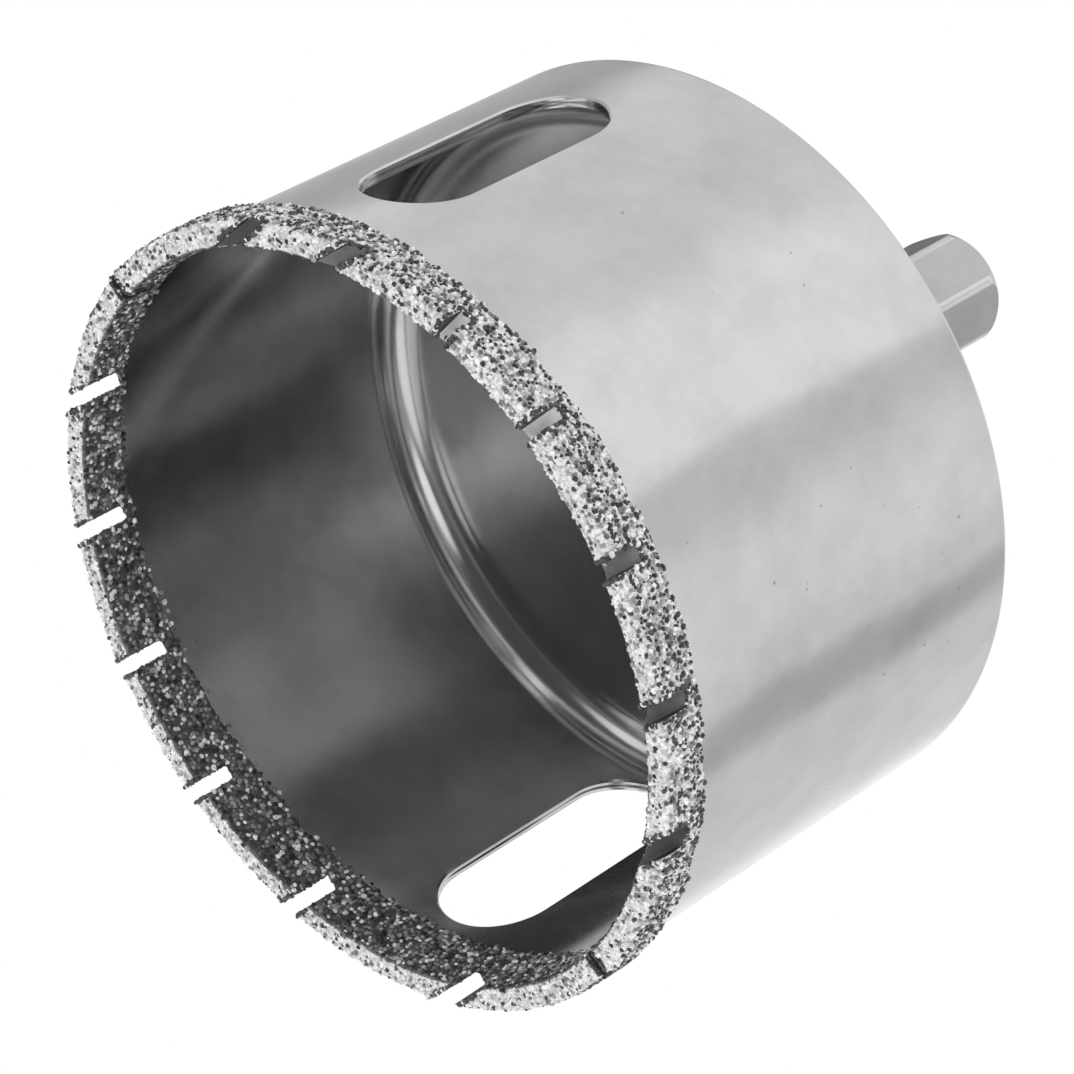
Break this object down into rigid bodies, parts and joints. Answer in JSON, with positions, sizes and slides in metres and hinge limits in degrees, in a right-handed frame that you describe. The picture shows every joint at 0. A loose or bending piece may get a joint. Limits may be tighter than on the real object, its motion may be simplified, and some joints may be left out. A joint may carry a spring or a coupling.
{
  "type": "diamond core bit",
  "caption": "Hollow round drill bit for tile and stone: a steel cup with a diamond-plated, notched rim, slotted sides and a hexagonal drive shank.",
  "frame": {"origin": "centre of the plane that the cutting rim stands on", "axes": "+Z along the bit's axis, from the cutting rim toward the shank; the bit stands rim down; one of the two side windows faces almost +Y, turned 17.5 degrees toward -X"},
  "size_m": [0.07, 0.07, 0.079],
  "materials": {
    "cup": "bright nickel-plated steel with faint ripples",
    "diamond_coating": "rough nickel bond full of diamond grit",
    "shank": "bright nickel-plated steel, smooth"
  },
  "bodies": {
    "root": {"cup": "cup", "diamond_coating": "diamond_coating", "shank": "shank"}
  },
  "joints": []
}
